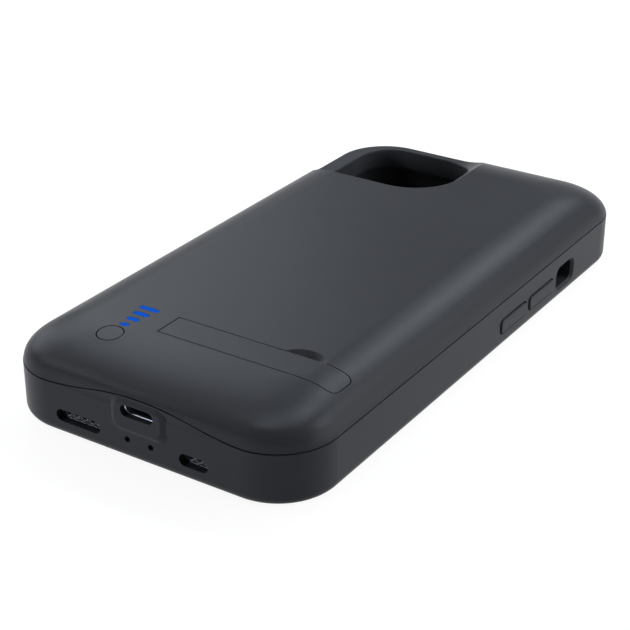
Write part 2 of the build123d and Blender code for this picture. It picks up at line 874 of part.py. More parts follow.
# Battery
with BuildPart() as battery_tape:
    with Locations((0, cell_y, tray_top)):
        Box(cell_width - 2 * tape_margin, cell_length - 2 * tape_margin, tape_thickness, align=on_floor)
battery_tape.part.label = "battery_tape"
export_step(battery_tape.part, "parts/battery_tape.step")

with BuildPart() as battery_cell:
    with Locations((0, cell_y, cell_bottom)):
        Box(cell_width, cell_length, cell_height, align=on_floor)
    fillet(battery_cell.edges().filter_by(Axis.Y), cell_fillet)
battery_cell.part.label = "battery_cell"
export_step(battery_cell.part, "parts/battery_cell.step")

with BuildPart() as battery_guard_board:
    with Locations((0, cell_chin, tray_top)):
        Box(guard_width, guard_thickness, guard_height, align=(Align.CENTER, Align.MAX, Align.MIN))
battery_guard_board.part.label = "battery_guard_board"
export_step(battery_guard_board.part, "parts/battery_guard_board.step")

guard_face = cell_chin - guard_thickness
lead_end = board_head - lead_landing
for name, lead_x in (("positive_lead", lead_spacing / 2), ("negative_lead", -lead_spacing / 2)):
    with BuildPart() as lead:
        with BuildLine() as route:
            FilletPolyline(
                (lead_x, guard_face, board_top + lead_height),
                (lead_x, lead_end, board_top + lead_height),
                (lead_x, lead_end, board_top),
                radius=lead_bend,
            )
        with BuildSketch(Plane(origin=route.line @ 0, z_dir=route.line % 0)):
            Circle(lead_radius)
        sweep()
    lead.part.label = name
    export_step(lead.part, f"parts/{name}.step")

# Plug for the phone
bay_plane = Plane.XZ.offset(-bay_chin)
with BuildPart() as phone_plug:
    with BuildSketch(bay_plane.offset(plug_root)):
        with Locations((0, plug_z)):
            SlotOverall(plug_width, plug_height)
    extrude(amount=-(plug_root + plug_reach))
phone_plug.part.label = "phone_plug"
export_step(phone_plug.part, "parts/phone_plug.step")

with BuildPart() as plug_housing:
    with Locations((0, bay_chin, pocket_floor)):
        Box(housing_width, housing_depth, housing_height, align=(Align.CENTER, Align.MAX, Align.MIN))
    with BuildSketch(bay_plane):
        with Locations((0, plug_z)):
            SlotOverall(plug_width + 2 * plug_gap, plug_height + 2 * plug_gap)
    extrude(amount=plug_root, mode=Mode.SUBTRACT)
plug_housing.part.label = "plug_housing"
export_step(plug_housing.part, "parts/plug_housing.step")

plug_board_top = pocket_floor + housing_height + plug_board_thickness
with BuildPart() as plug_board:
    with Locations((0, bay_chin, pocket_floor + housing_height)):
        Box(
            plug_board_width,
            plug_board_depth,
            plug_board_thickness,
            align=(Align.CENTER, Align.MAX, Align.MIN),
        )
plug_board.part.label = "plug_board"
export_step(plug_board.part, "parts/plug_board.step")

with BuildPart() as plug_flex:
    flex_face = board_chin - flex_gap
    with BuildSketch(Plane.YZ.offset(flex_x)):
        with BuildLine():
            Polyline(
                (flex_face, plug_board_top),
                (flex_face, board_top),
                (flex_face + flex_landing, board_top),
                (flex_face + flex_landing, board_top + flex_thickness),
                (flex_face - flex_thickness, board_top + flex_thickness),
                (flex_face - flex_thickness, plug_board_top),
                close=True,
            )
        make_face()
    extrude(amount=flex_width / 2, both=True)
plug_flex.part.label = "plug_flex"
export_step(plug_flex.part, "parts/plug_flex.step")
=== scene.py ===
"""Looks of a battery charging case: finishes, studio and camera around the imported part, in metres."""

from __future__ import annotations

import logging
import math
from dataclasses import dataclass, fields
from enum import Enum
from functools import lru_cache

import bpy
from mathutils import Color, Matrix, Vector

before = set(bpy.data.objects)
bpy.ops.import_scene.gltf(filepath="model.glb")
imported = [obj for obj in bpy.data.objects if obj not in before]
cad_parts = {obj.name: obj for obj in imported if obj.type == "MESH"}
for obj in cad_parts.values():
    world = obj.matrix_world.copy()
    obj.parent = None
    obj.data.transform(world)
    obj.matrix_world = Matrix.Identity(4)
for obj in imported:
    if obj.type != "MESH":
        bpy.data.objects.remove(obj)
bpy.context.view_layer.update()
log = logging.getLogger("charging_case")

MM = 0.001
WHITE = (1.0, 1.0, 1.0, 1.0)

# Places of the share, the two colours and the result among the sockets of a mix node
MIX_INPUTS = (0, 6, 7)
MIX_RESULT = 2

# Middle of a noise, and of a step that runs from 0 to 1
MIDDLE = 0.5

# Noise of the moulded grain, and of the slow clouds in its tone, which are counted per metre
GRAIN_DETAIL = 2.0
GRAIN_ROUGHNESS = 0.6
CLOUD_SCALE = 45.0
CLOUD_DETAIL = 3.0
CLOUD_ROUGHNESS = 0.5

# Drawn lines per metre along each axis, long along Y
LINE_SCALE = (9000.0, 400.0, 9000.0)
LINE_DETAIL = 2.0

# Rays that feel for an edge, and the turn of the normal, as 1 less its cosine, that makes a full edge
EDGE_RAYS = 6
FULL_EDGE_TURN = 0.25


def linear(red: int, green: int, blue: int) -> tuple[float, float, float, float]:
    """Turn a colour read as 0 to 255 on screen into Blender's linear colour.

    Args:
        red: Red as shown on screen.
        green: Green as shown on screen.
        blue: Blue as shown on screen.

    Returns:
        The linear colour with full alpha.
    """
    toned = Color((red / 255, green / 255, blue / 255)).from_srgb_to_scene_linear()
    return (toned.r, toned.g, toned.b, 1.0)


@dataclass
class Graph:
    """A node tree with short calls to add nodes and join their sockets."""

    tree: bpy.types.NodeTree

    def add(self, kind: str, settings: dict | None = None, **inputs: object) -> bpy.types.Node:
        """Add a node, with its settings and its inputs filled or joined.

        Args:
            kind: Blender's node type.
            settings: Properties of the node itself.
            inputs: Values or output sockets, by input name with underscores for spaces.

        Returns:
            The new node.
        """
        node = self.tree.nodes.new(kind)
        for name, value in (settings or {}).items():
            setattr(node, name, value)
        self.fill_inputs(node, {name.replace("_", " "): value for name, value in inputs.items()})
        return node

    def fill(self, socket: bpy.types.NodeSocket, value: object) -> None:
        """Join an output socket to an input, or set the input's own value.

        Args:
            socket: Input to fill.
            value: Output socket to join, or a plain value.
        """
        if isinstance(value, bpy.types.NodeSocket):
            self.tree.links.new(value, socket)
        else:
            socket.default_value = value

    def fill_inputs(self, node: bpy.types.Node, values: dict[str, object]) -> None:
        """Fill inputs of a node by their names."""
        for name, value in values.items():
            self.fill(node.inputs[name], value)

    def operate(self, kind: str, operation: str, values: tuple[object, ...]) -> bpy.types.Node:
        """Add a node that works on values in order.

        Args:
            kind: Blender's node type.
            operation: What the node does with the values.
            values: Values or output sockets.

        Returns:
            The new node.
        """
        node = self.add(kind, {"operation": operation})
        for socket, value in zip(node.inputs, values):
            self.fill(socket, value)
        return node

    def math(self, operation: str, *values: object) -> bpy.types.NodeSocket:
        """Result of a math node on the values."""
        return self.operate("ShaderNodeMath", operation, values).outputs[0]

    def vector(self, operation: str, *values: object) -> bpy.types.Node:
        """Vector math node on the vectors."""
        return self.operate("ShaderNodeVectorMath", operation, values)

    def brighten(self, colour: bpy.types.NodeSocket, gain: bpy.types.NodeSocket) -> bpy.types.NodeSocket:
        """Multiply a colour by a gain.

        Args:
            colour: Colour to brighten.
            gain: Factor, under 1 to darken.

        Returns:
            The brightened colour.
        """
        node = self.vector("SCALE", colour)
        self.fill(node.inputs["Scale"], gain)
        return node.outputs[0]

    def mix(self, share: object, first: object, second: object) -> bpy.types.NodeSocket:
        """Mix two colours.

        Args:
            share: Share of the second colour.
            first: Colour at a share of 0.
            second: Colour at a share of 1.

        Returns:
            The mixed colour.
        """
        node = self.add("ShaderNodeMix", {"data_type": "RGBA"})
        for index, value in zip(MIX_INPUTS, (share, first, second)):
            self.fill(node.inputs[index], value)
        return node.outputs[MIX_RESULT]

    def ramp(
        self, value: object, span: tuple[float, float], ends: tuple[float, float] = (0.0, 1.0)
    ) -> bpy.types.NodeSocket:
        """Run evenly from one end to the other while a value crosses a span, and hold beyond it.

        Args:
            value: Value that crosses the span.
            span: Where the run starts and stops.
            ends: Results at the start and at the stop.

        Returns:
            The result.
        """
        node = self.add(
            "ShaderNodeMapRange",
            Value=value,
            From_Min=span[0],
            From_Max=span[1],
            To_Min=ends[0],
            To_Max=ends[1],
        )
        return node.outputs[0]

    def place(self) -> bpy.types.NodeSocket:
        """Place on the object, in metres."""
        return self.add("ShaderNodeTexCoord").outputs["Object"]

    def axes(self) -> bpy.types.Node:
        """Split the place on the object into its three coordinates."""
        return self.add("ShaderNodeSeparateXYZ", Vector=self.place())

    def sight(self) -> tuple[bpy.types.NodeSocket, bpy.types.NodeSocket]:
        """Tell the rays that show a thing in the picture.

        Returns:
            Masks of the rays straight from the camera, and of those by way of a mirror or a clear piece.
        """
        path = self.add("ShaderNodeLightPath")
        mirrored = self.math("MAXIMUM", path.outputs["Is Glossy Ray"], path.outputs["Is Transmission Ray"])
        return path.outputs["Is Camera Ray"], mirrored


class GroupSocket(Enum):
    """Socket types that the shared effects use."""

    COLOUR = "NodeSocketColor"
    VALUE = "NodeSocketFloat"
    VECTOR = "NodeSocketVector"


def new_group(
    name: str, inputs: dict[str, GroupSocket], outputs: dict[str, GroupSocket]
) -> tuple[Graph, bpy.types.Node, bpy.types.Node]:
    """Start a shader node group with named sockets.

    Args:
        name: Name of the group.
        inputs: Input names and their types.
        outputs: Output names and their types.

    Returns:
        The group's graph, its input node and its output node.
    """
    tree = bpy.data.node_groups.new(name, "ShaderNodeTree")
    for socket, kind in inputs.items():
        tree.interface.new_socket(socket, in_out="INPUT", socket_type=kind.value)
    for socket, kind in outputs.items():
        tree.interface.new_socket(socket, in_out="OUTPUT", socket_type=kind.value)
    graph = Graph(tree)
    return graph, graph.add("NodeGroupInput"), graph.add("NodeGroupOutput")


SURFACE_INPUTS = {
    "Colour": GroupSocket.COLOUR,
    "Tone": GroupSocket.VALUE,
    "Roughness": GroupSocket.VALUE,
    "Polish": GroupSocket.VALUE,
}
SURFACE_OUTPUTS = {
    "Colour": GroupSocket.COLOUR,
    "Roughness": GroupSocket.VALUE,
    "Height": GroupSocket.VALUE,
}


def vary(
    graph: Graph, given: bpy.types.Node, tone: bpy.types.NodeSocket, sheen: bpy.types.NodeSocket
) -> dict[str, object]:
    """Let a surface's colour and roughness swing about what it was given.

    Args:
        graph: Graph of the group.
        given: Input node of the group.
        tone: Swing of the colour, about 0.
        sheen: Swing of the roughness, about 0.

    Returns:
        The colour and the roughness, by output name.
    """
    gain = graph.math("MULTIPLY_ADD", tone, given.outputs["Tone"], 1.0)
    return {
        "Colour": graph.brighten(given.outputs["Colour"], gain),
        "Roughness": graph.math("MULTIPLY_ADD", sheen, given.outputs["Polish"], given.outputs["Roughness"]),
    }


@lru_cache(maxsize=None)
def moulded_grain() -> bpy.types.NodeTree:
    """Build the fine spark texture of moulded plastic, with slow changes of tone and sheen.

    Returns:
        The node group, with colour, roughness and height outputs.
    """
    graph, given, put = new_group(
        "moulded_grain", SURFACE_INPUTS | {"Grain": GroupSocket.VALUE}, SURFACE_OUTPUTS
    )
    place = graph.place()
    grain = graph.add(
        "ShaderNodeTexNoise",
        Vector=place,
        Scale=graph.math("DIVIDE", 1.0, given.outputs["Grain"]),
        Detail=GRAIN_DETAIL,
        Roughness=GRAIN_ROUGHNESS,
    ).outputs["Fac"]
    cloud = graph.add(
        "ShaderNodeTexNoise",
        Vector=place,
        Scale=CLOUD_SCALE,
        Detail=CLOUD_DETAIL,
        Roughness=CLOUD_ROUGHNESS,
    ).outputs["Fac"]
    swing = graph.math("SUBTRACT", cloud, MIDDLE)
    fleck = graph.math("SUBTRACT", grain, MIDDLE)
    graph.fill_inputs(put, vary(graph, given, graph.math("ADD", swing, fleck), swing))
    graph.fill(put.inputs["Height"], grain)
    return graph.tree


@lru_cache(maxsize=None)
def drawn_lines() -> bpy.types.NodeTree:
    """Build the fine parallel lines of drawn or brushed metal.

    Returns:
        The node group, with colour, roughness and height outputs.
    """
    graph, given, put = new_group("drawn_lines", SURFACE_INPUTS, SURFACE_OUTPUTS)
    stretched = graph.add("ShaderNodeMapping", Vector=graph.place(), Scale=LINE_SCALE).outputs[0]
    lines = graph.add("ShaderNodeTexNoise", Vector=stretched, Scale=1.0, Detail=LINE_DETAIL).outputs["Fac"]
    swing = graph.math("SUBTRACT", lines, MIDDLE)
    graph.fill_inputs(put, vary(graph, given, swing, swing))
    graph.fill(put.inputs["Height"], lines)
    return graph.tree


@lru_cache(maxsize=None)
def edge_rounding() -> bpy.types.NodeTree:
    """Build the small round that every moulded or stamped edge has, with a mask of the edges.

    Returns:
        The node group, with normal and mask outputs.
    """
    graph, given, put = new_group(
        "edge_rounding",
        {"Radius": GroupSocket.VALUE},
        {"Normal": GroupSocket.VECTOR, "Edge": GroupSocket.VALUE},
    )
    rounded = graph.add("ShaderNodeBevel", {"samples": EDGE_RAYS}, Radius=given.outputs["Radius"]).outputs[0]
    plain = graph.add("ShaderNodeNewGeometry").outputs["Normal"]
    along = graph.vector("DOT_PRODUCT", rounded, plain).outputs["Value"]
    turned = graph.math("SUBTRACT", 1.0, along)
    graph.fill(put.inputs["Normal"], rounded)
    graph.fill(put.inputs["Edge"], graph.ramp(turned, (0.0, FULL_EDGE_TURN)))
    return graph.tree


@dataclass(frozen=True)
class Zone:
    """A box on the part where a finish changes, in millimetres.

    Attributes:
        low: Lowest corner.
        high: Highest corner.
    """

    low: tuple[float, float, float]
    high: tuple[float, float, float]

    def mask(self, graph: Graph) -> bpy.types.NodeSocket:
        """Mask the places inside the box.

        Args:
            graph: Graph of the material.

        Returns:
            The mask, 1 inside the box and 0 outside it.
        """
        place = graph.axes()
        mask: bpy.types.NodeSocket | float = 1.0
        for axis, least, most in zip("XYZ", self.low, self.high):
            past = graph.math("GREATER_THAN", place.outputs[axis], least * MM)
            before = graph.math("LESS_THAN", place.outputs[axis], most * MM)
            mask = graph.math("MULTIPLY", mask, graph.math("MULTIPLY", past, before))
        return mask


@dataclass(frozen=True)
class Finish:
    """A finish with fine grain: moulded plastic, rubber, film or lacquer.

    Attributes:
        name: Name of the material.
        colour: Base colour as shown on screen.
        roughness: Middle roughness.
        polish: How far the roughness swings.
        tone: How far the colour swings.
        grain: Size of the grain in metres.
        depth: Depth of the grain in metres.
        specular: Specular level.
        metallic: 1 for metal.
        edge: Radius of the edges in metres.
        edge_tone: Painted highlight on the edges: how much lighter they are.
        soft_zone: Where the edges are softer, if anywhere.
        soft_edge: Radius of the edges in that zone in metres.
        soft_tone: How much lighter the edges are painted in that zone than elsewhere; a negative value
            paints shade on them.
        lift_limits: Darkest and lightest that painted light and shade leave an edge, as shares of the
            colour.
        glow: Strength of the light that it gives.
    """

    name: str
    colour: tuple[int, int, int]
    roughness: float = 0.5
    polish: float = 0.1
    tone: float = 0.12
    grain: float = 0.16 * MM
    depth: float = 0.008 * MM
    specular: float = 0.5
    metallic: float = 0.0
    edge: float = 0.15 * MM
    # Painted highlight on every edge
    edge_tone: float = 0.15
    soft_zone: Zone | None = None
    soft_edge: float = 0.5 * MM
    # Painted tone on the edges in the soft zone, painted shade where negative
    soft_tone: float = 0.0
    lift_limits: tuple[float, float] = (0.4, 18.0)
    glow: float = 0.0

    def effect(self) -> bpy.types.NodeTree:
        """Shared effect that the finish uses."""
        return moulded_grain()

    def surface_inputs(self) -> dict[str, object]:
        """Values that every shared effect of a surface takes."""
        return {
            "Colour": linear(*self.colour),
            "Tone": self.tone,
            "Roughness": self.roughness,
            "Polish": self.polish,
        }

    def effect_inputs(self) -> dict[str, object]:
        """Values that the finish gives to its shared effect."""
        return self.surface_inputs() | {"Grain": self.grain}

    def edge_radius(self, graph: Graph) -> object:
        """Radius of the edges, as a value or as a socket where it changes over the piece.

        Args:
            graph: Graph of the material.

        Returns:
            The radius in metres.
        """
        if self.soft_zone is None:
            return self.edge
        return graph.math("MULTIPLY_ADD", self.soft_zone.mask(graph), self.soft_edge - self.edge, self.edge)

    def edge_lift(self, graph: Graph) -> object:
        """Painted highlight on the edges: how much lighter they are, as a value or as a socket where it
        changes over the piece.

        Args:
            graph: Graph of the material.

        Returns:
            The share by which the colour is painted lighter, and darker where shade is painted.
        """
        if self.soft_zone is None:
            return self.edge_tone
        return graph.math("MULTIPLY_ADD", self.soft_zone.mask(graph), self.soft_tone, self.edge_tone)

    def dressed(
        self, graph: Graph, colour: bpy.types.NodeSocket, edge: bpy.types.NodeSocket
    ) -> dict[str, object]:
        """Lay the finish's own pattern over its colour; a plain finish only paints highlights, and shade in
        its zone, on its edges.

        Args:
            graph: Graph of the material.
            colour: Colour of the finish.
            edge: Mask of the edges.

        Returns:
            Values or sockets by shader input.
        """
        darkest, lightest = self.lift_limits
        # Painted highlight on the edges, and painted shade where the share is negative, held between the
        # limits
        lift = graph.math("MULTIPLY_ADD", edge, self.edge_lift(graph), 1.0)
        lift = graph.math("MINIMUM", graph.math("MAXIMUM", lift, darkest), lightest)
        return {"Base Color": graph.brighten(colour, lift), "Metallic": self.metallic}

    def material(self) -> bpy.types.Material:
        """Build the material, or return it if it is already there.

        Returns:
            The material of this finish.
        """
        made = bpy.data.materials.get(self.name)
        if made:
            return made
        made = bpy.data.materials.new(self.name)
        made.use_nodes = True
        graph = Graph(made.node_tree)
        shader = made.node_tree.nodes["Principled BSDF"]
        texture = graph.add("ShaderNodeGroup", {"node_tree": self.effect()})
        graph.fill_inputs(texture, self.effect_inputs())
        rounding = graph.add("ShaderNodeGroup", {"node_tree": edge_rounding()})
        graph.fill(rounding.inputs["Radius"], self.edge_radius(graph))
        dressed = self.dressed(graph, texture.outputs["Colour"], rounding.outputs["Edge"])
        bump = graph.add(
            "ShaderNodeBump",
            Distance=self.depth,
            Height=texture.outputs["Height"],
            Normal=rounding.outputs["Normal"],
        )
        graph.fill_inputs(shader, dressed)
        graph.fill(shader.inputs["Roughness"], texture.outputs["Roughness"])
        graph.fill(shader.inputs["Normal"], bump.outputs["Normal"])
        graph.fill(shader.inputs["Specular IOR Level"], self.specular)
        if self.glow:
            graph.fill(shader.inputs["Emission Color"], dressed["Base Color"])
            graph.fill(shader.inputs["Emission Strength"], self.glow)
        return made


@dataclass(frozen=True)
class PlasticWithPaintedRimHighlights(Finish):
    """Plastic with a painted highlight on the rims around the holes inside its sound slots.

    Attributes:
        rim_tone: How much lighter the rims are painted, as a painted highlight.
        rim_zone: Where the rims with the painted highlight are.
    """

    # Painted highlight on the rims of the sound holes
    rim_tone: float = 60.0
    rim_zone: Zone = Zone((-26.0, -76.6, 3.4), (20.0, -75.2, 6.8))

    def edge_lift(self, graph: Graph) -> object:
        """Painted highlight on the edges, much stronger at the rims."""
        # Mask of the rims that get the painted highlight
        rims = self.rim_zone.mask(graph)
        return graph.math("MULTIPLY_ADD", rims, self.rim_tone, super().edge_lift(graph))


@dataclass(frozen=True)
class ContactRow(Finish):
    """A piece with a row of plated contacts across it.

    Attributes:
        inlay: Colour between the contacts as shown on screen.
        plating: Colour of the contacts as shown on screen.
        pitch: Distance from contact to contact.
        share: Share of the pitch that a contact covers.
        row: Where the contacts are.
    """

    inlay: tuple[int, int, int] = (26, 27, 29)
    plating: tuple[int, int, int] = (206, 160, 84)
    pitch: float = 0.5 * MM
    share: float = 0.55
    row: Zone = Zone((-3.0, -75.0, 10.0), (3.0, -72.0, 15.0))

    def dressed(
        self, graph: Graph, colour: bpy.types.NodeSocket, edge: bpy.types.NodeSocket
    ) -> dict[str, object]:
        """Lay the contacts and the strip between them over the piece's colour.

        Args:
            graph: Graph of the material.
            colour: Colour of the piece.
            edge: Mask of the edges, which stay as they are.

        Returns:
            Values or sockets by shader input.
        """
        strip = self.row.mask(graph)
        start = graph.math("SUBTRACT", graph.axes().outputs["X"], self.row.low[0] * MM)
        step = graph.math("FRACT", graph.math("DIVIDE", start, self.pitch))
        beside = graph.math("ABSOLUTE", graph.math("SUBTRACT", step, MIDDLE))
        contact = graph.math("MULTIPLY", strip, graph.math("LESS_THAN", beside, self.share / 2))
        ground = graph.mix(strip, colour, linear(*self.inlay))
        bare = graph.math("MULTIPLY", graph.math("SUBTRACT", 1.0, strip), self.metallic)
        return {
            "Base Color": graph.mix(contact, ground, linear(*self.plating)),
            "Metallic": graph.math("MAXIMUM", contact, bare),
        }


@dataclass(frozen=True)
class TracedBoard(Finish):
    """Lacquered board with lighter copper lines under the lacquer and tinned dots.

    Attributes:
        trace: Colour of a line under the lacquer as shown on screen.
        tin: Colour of a tinned dot as shown on screen.
        cell: Distance between the lines.
        line_rise: Distances from a cell's middle where a line starts and is full, as shares of the cell.
        dot_reach: Radius of a dot, as a share of the cell.
    """

    trace: tuple[int, int, int] = (48, 128, 76)
    tin: tuple[int, int, int] = (188, 190, 192)
    cell: float = 1.1 * MM
    line_rise: tuple[float, float] = (0.42, 0.46)
    dot_reach: float = 0.09

    def dressed(
        self, graph: Graph, colour: bpy.types.NodeSocket, edge: bpy.types.NodeSocket
    ) -> dict[str, object]:
        """Lay the lines and the dots over the lacquer's colour.

        Args:
            graph: Graph of the material.
            colour: Colour of the lacquer.
            edge: Mask of the edges, which stay as they are.

        Returns:
            Values or sockets by shader input.
        """
        squares = {"distance": "CHEBYCHEV"}
        cells = graph.add("ShaderNodeTexVoronoi", squares, Vector=graph.place(), Scale=1 / self.cell)
        line = graph.ramp(cells.outputs["Distance"], self.line_rise)
        dot = graph.math("LESS_THAN", cells.outputs["Distance"], self.dot_reach)
        lined = graph.mix(line, colour, linear(*self.trace))
        return {"Base Color": graph.mix(dot, lined, linear(*self.tin)), "Metallic": dot}


@dataclass(frozen=True)
class DrawnMetal(Finish):
    """Bright drawn steel with fine lines along it."""

    metallic: float = 1.0

    def effect(self) -> bpy.types.NodeTree:
        """Shared effect that the finish uses."""
        return drawn_lines()

    def effect_inputs(self) -> dict[str, object]:
        """Values that the finish gives to its shared effect."""
        return self.surface_inputs()


BLACK = (58, 59, 62)
CAMERA_BAY_RIM = Zone((-40.0, 40.0, 13.2), (1.0, 80.0, 17.0))
# Zone below the charge port's pad where the frame's edges are rounded more and darkened by painted shade
PORT_PAD_FOOT_PAINTED_SHADE = Zone((-8.0, -79.0, 6.3), (8.0, -77.9, 9.6))
COVER = Finish(
    "satin_black_cover",
    BLACK,
    roughness=0.34,
    polish=0.06,
    specular=0.06,
    edge=0.2 * MM,
    soft_zone=CAMERA_BAY_RIM,
    soft_edge=0.9 * MM,
)
FRAME = PlasticWithPaintedRimHighlights(
    "satin_black_frame",
    BLACK,
    roughness=0.34,
    polish=0.06,
    specular=0.06,
    edge=0.12 * MM,
    edge_tone=0.05,
    soft_zone=PORT_PAD_FOOT_PAINTED_SHADE,
    soft_edge=1.3 * MM,
    # Painted shade along the pad's lower border
    soft_tone=-2.4,
)
KEYS = Finish("satin_black_keys", BLACK, roughness=0.36, polish=0.06, specular=0.06, edge=0.2 * MM)
TRAY = Finish("tray_black", (36, 37, 39), roughness=0.6, specular=0.2)
LIGHTS = Finish(
    "lit_blue_bars",
    (10, 66, 156),
    roughness=0.5,
    specular=0.0,
    tone=0.2,
    edge=0.1 * MM,
    glow=0.85,
)
BOARD = TracedBoard("green_lacquer", (22, 84, 52), roughness=0.3, tone=0.3, grain=0.5 * MM)
CHIP = Finish("black_resin", (28, 28, 30), roughness=0.45)
LED = Finish("clear_resin", (225, 222, 205), roughness=0.2)
FOIL = Finish("cell_foil", (186, 188, 192), roughness=0.35, grain=1.2 * MM, depth=0.05 * MM, metallic=1.0)
TAPE = Finish("tape_film", (222, 216, 196), roughness=0.6)
STEEL = DrawnMetal("drawn_steel", (172, 174, 178), roughness=0.3, tone=0.2)
PORT_STEEL = DrawnMetal("port_steel", (186, 192, 200), roughness=0.3, tone=0.2)
TONGUE = ContactRow(
    "tongue_resin",
    (104, 112, 118),
    roughness=0.4,
    inlay=(70, 76, 80),
    plating=(168, 160, 140),
)
PLUG = ContactRow(
    "plug_steel",
    (172, 174, 178),
    roughness=0.3,
    metallic=1.0,
    pitch=0.7 * MM,
    row=Zone((-2.8, -61.6, 3.0), (2.8, -59.0, 7.0)),
)
RED_LEAD = Finish("red_insulation", (150, 18, 18), roughness=0.45)
BLACK_LEAD = Finish("black_insulation", (22, 22, 22), roughness=0.45)
FLEX = Finish("amber_film", (168, 104, 30), roughness=0.35)


class SubAssembly:
    """Nodes of the part that belong together; each field is a node, and its value the node's finish."""

    def dress(self) -> None:
        """Give each node its material and smooth shading."""
        for piece in fields(self):
            finish = getattr(self, piece.name)
            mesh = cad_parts[piece.name].data
            mesh.materials.clear()
            mesh.materials.append(finish.material())
            mesh.shade_smooth()
            log.info("%s: %s in %s", type(self).__name__, piece.name, finish.name)


@dataclass(frozen=True)
class Shell(SubAssembly):
    """Frame, cover and tray that make the body of the case."""

    back_cover: Finish = COVER
    bumper_frame: Finish = FRAME
    inner_tray: Finish = TRAY
    tray_screws: Finish = STEEL


@dataclass(frozen=True)
class Stand(SubAssembly):
    """Fold-out stand on its pin."""

    kickstand: Finish = COVER
    hinge_pin: Finish = STEEL


@dataclass(frozen=True)
class ChargeCheck(SubAssembly):
    """Button that shows the charge on four lit bars."""

    check_button: Finish = COVER
    light_guide: Finish = LIGHTS
    led_chips: Finish = LED
    check_switch: Finish = CHIP


@dataclass(frozen=True)
class SideKeys(SubAssembly):
    """Keys in the two long sides of the frame."""

    volume_up_key: Finish = KEYS
    volume_down_key: Finish = KEYS
    side_key: Finish = KEYS


@dataclass(frozen=True)
class ChargePort(SubAssembly):
    """Port in the chin that charges the case."""

    charge_port_shell: Finish = PORT_STEEL
    charge_port_tongue: Finish = TONGUE


@dataclass(frozen=True)
class MainBoard(SubAssembly):
    """Board with the charge electronics."""

    main_board: Finish = BOARD
    power_chip: Finish = CHIP
    power_inductor: Finish = CHIP


@dataclass(frozen=True)
class Battery(SubAssembly):
    """Pouch cell with its guard board and leads."""

    battery_cell: Finish = FOIL
    battery_tape: Finish = TAPE
    battery_guard_board: Finish = BOARD
    positive_lead: Finish = RED_LEAD
    negative_lead: Finish = BLACK_LEAD


@dataclass(frozen=True)
class BayPlug(SubAssembly):
    """Plug at the chin end of the bay, with its holder, board and ribbon."""

    phone_plug: Finish = PLUG
    plug_housing: Finish = CHIP
    plug_board: Finish = BOARD
    plug_flex: Finish = FLEX


SUB_ASSEMBLIES = (Shell, Stand, ChargeCheck, SideKeys, ChargePort, MainBoard, Battery, BayPlug)

NEUTRAL = (0.98, 1.0, 1.02)
LEVEL = (0.95, 0.99, 1.06)
COOL = (0.92, 0.985, 1.07)


class Reach(Enum):
    """What the light of a lamp acts on."""

    ALL = "all surfaces"
    MATT = "matt surfaces, with no reflection of the lamp"
    MIRROR = "reflections only"


@dataclass(frozen=True)
class Softbox:
    """One square softbox that faces the case.

    Attributes:
        name: Name of the lamp.
        azimuth: Degrees from the far end towards the left.
        elevation: Degrees above the floor.
        power: Power in watts.
        tint: Colour of its light.
        size: Length of its side.
        distance: Distance from the case.
        reach: What its light acts on.
    """

    name: str
    azimuth: float
    elevation: float
    power: float
    tint: tuple[float, float, float] = NEUTRAL
    size: float = 0.3
    distance: float = 0.9
    reach: Reach = Reach.ALL

    def hang(self) -> bpy.types.Object:
        """Hang the lamp.

        Returns:
            The lamp.
        """
        turn, tilt = math.radians(self.azimuth), math.radians(self.elevation)
        aim = Vector((-math.sin(turn) * math.cos(tilt), math.cos(turn) * math.cos(tilt), math.sin(tilt)))
        data = bpy.data.lights.new(self.name, "AREA")
        data.shape = "SQUARE"
        data.size = self.size
        data.energy = self.power
        data.color = self.tint
        lamp = bpy.data.objects.new(self.name, data)
        bpy.context.scene.collection.objects.link(lamp)
        lamp.visible_glossy = self.reach is not Reach.MATT
        lamp.visible_diffuse = self.reach is not Reach.MIRROR
        lamp.location = aim * self.distance
        lamp.rotation_euler = (-aim).to_track_quat("-Z", "Y").to_euler()
        return lamp


SOFTBOXES = (
    Softbox("left_softbox", 75, 25, 1.6, COOL, size=0.4),
    Softbox("left_high_softbox", 54, 37, 1.0, COOL),
    Softbox("far_left_softbox", 44, 30, 0.68, COOL),
    Softbox("far_softbox", 10, 42, 0.85, COOL),
    Softbox("far_right_softbox", -4, 42, 2.1, COOL),
    Softbox("right_high_softbox", -38, 34, 1.1),
    Softbox("corner_gleam", -54, 46, 2.4, COOL, size=0.25, reach=Reach.MIRROR),
    Softbox("corner_top_gleam", -6, 66, 3.0, COOL, size=0.25, reach=Reach.MIRROR),
    Softbox("overhead_gleam", 75, 80, 2.3, COOL, size=0.25, reach=Reach.MIRROR),
    Softbox("right_low_softbox", -66, 12, 7.7, LEVEL, size=0.8),
    Softbox("near_left_high_softbox", 112, 44, 0.9),
    Softbox("port_gleam", 128, 40, 0.8, COOL, reach=Reach.MIRROR),
    Softbox("near_softbox", 152, 9, 3.6, LEVEL, size=0.25, reach=Reach.MATT),
    Softbox("behind_softbox", 40, 8, 4.0, LEVEL, size=0.8, reach=Reach.MATT),
)


